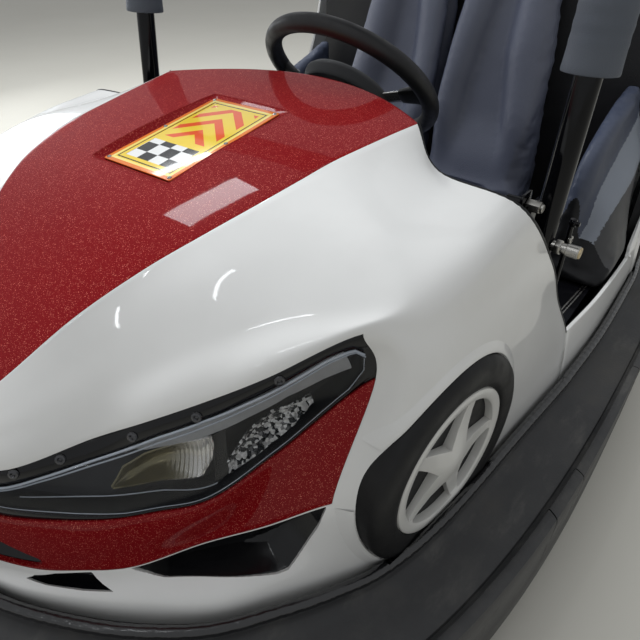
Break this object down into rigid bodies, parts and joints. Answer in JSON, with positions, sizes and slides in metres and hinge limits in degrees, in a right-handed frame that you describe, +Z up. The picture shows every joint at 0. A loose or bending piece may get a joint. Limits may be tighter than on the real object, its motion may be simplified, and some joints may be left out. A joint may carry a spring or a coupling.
{
  "type": "bumper car",
  "caption": "Electric two-seat fairground bumper car with a rubber bumper ring, moulded body, bucket seats, padded lap hoop and a steered drive wheel.",
  "frame": {"origin": "on the floor, under the middle of the bumper ring", "axes": "+Y from nose to tail, +X to the vehicle's left side, +Z up"},
  "size_m": [1.2, 1.96, 0.996],
  "materials": {
    "pan_steel": "satin black paint, dusty",
    "bumper_rubber": "moulded rubber, dusty, scuffed",
    "welt_pvc": "glossy black welt",
    "pearl_white": "white gloss gelcoat with fine pearl",
    "flake_red": "red metal-flake gelcoat under clear coat",
    "plate_yellow": "printed acrylic plate",
    "lens_clear": "clear polycarbonate",
    "lamp_black": "black moulded housing",
    "vent_black": "matt black recess",
    "tail_red": "red lens",
    "tyre_black": "matt black moulding",
    "rim_white": "white moulding",
    "cockpit_black": "grained black moulding",
    "mat_rubber": "ribbed floor mat",
    "vinyl_blue_grey": "dark blue-grey vinyl over foam",
    "vinyl_grey": "grey vinyl over foam",
    "gloss_black_steel": "gloss black powder coat",
    "foam_black": "closed-cell foam sleeve",
    "wheel_rim_black": "soft black rim",
    "bright_steel": "polished steel",
    "cast_grey": "grey casting",
    "battery_grey": "battery case",
    "drive_rubber": "solid rubber tread"
  },
  "bodies": {
    "root": {"chassis": "pan_steel", "bumper_ring": "bumper_rubber", "welt": "welt_pvc", "front_shell": "pearl_white", "hood_panel": "flake_red", "hood_plate": "plate_yellow", "nose_band": "flake_red", "lamp_lens_left": "lens_clear", "lamp_lens_right": "lens_clear", "lamp_bowls": "lamp_black", "nose_vents": "vent_black", "rear_shell": "pearl_white", "tail_lamps": "tail_red", "dummy_tyres": "tyre_black", "dummy_rims": "rim_white", "dash": "cockpit_black", "bulkhead": "cockpit_black", "floor_mat": "mat_rubber", "side_ledges": "cockpit_black", "seat_base": "cockpit_black", "rear_panel": "cockpit_black", "battery_pack": "battery_grey", "seat_left": "vinyl_blue_grey", "seat_right": "vinyl_blue_grey", "wing_left": "vinyl_grey", "wing_right": "vinyl_grey", "column_tube": "gloss_black_steel", "steering_gearbox": "cast_grey", "drive_mount": "pan_steel", "foot_pedal": "bright_steel", "rear_brackets": "pan_steel", "hoop_brackets": "gloss_black_steel"},
    "steering_wheel": {"steering_rim": "wheel_rim_black", "steering_hub": "cockpit_black", "steering_shaft": "bright_steel"},
    "drive_unit": {"drive_fork": "cast_grey", "drive_motor": "cast_grey"},
    "drive_wheel": {"drive_axle": "bright_steel", "drive_hub": "cast_grey", "drive_tyre": "drive_rubber"},
    "rear_wheel_left": {"rear_wheel_left": "drive_rubber"},
    "rear_wheel_right": {"rear_wheel_right": "drive_rubber"},
    "safety_hoop": {"hoop_tube": "gloss_black_steel", "hoop_foam": "foam_black"}
  },
  "joints": [
    {"name": "steering_turn", "type": "hinge", "parent": "root", "child": "steering_wheel", "pos_m": [0, -0.012, 0.678], "axis": [0, 0.6947, 0.7193], "continuous": true},
    {"name": "drive_steer", "type": "hinge", "parent": "root", "child": "drive_unit", "pos_m": [0, -0.5, 0.25], "axis": [0, 0, 1], "continuous": true},
    {"name": "drive_roll", "type": "hinge", "parent": "drive_unit", "child": "drive_wheel", "pos_m": [0, -0.5, 0.11], "axis": [1, 0, 0], "continuous": true},
    {"name": "rear_roll_left", "type": "hinge", "parent": "root", "child": "rear_wheel_left", "pos_m": [0.36, 0.56, 0.09], "axis": [1, 0, 0], "continuous": true},
    {"name": "rear_roll_right", "type": "hinge", "parent": "root", "child": "rear_wheel_right", "pos_m": [-0.36, 0.56, 0.09], "axis": [1, 0, 0], "continuous": true},
    {"name": "hoop_swing", "type": "hinge", "parent": "root", "child": "safety_hoop", "pos_m": [0, -0.138, 0.545], "axis": [-1, 0, 0], "range_deg": [0, 62]}
  ],
  "couplings": [
    {"joint": "steering_turn", "follows": "drive_steer", "ratio": 1}
  ]
}
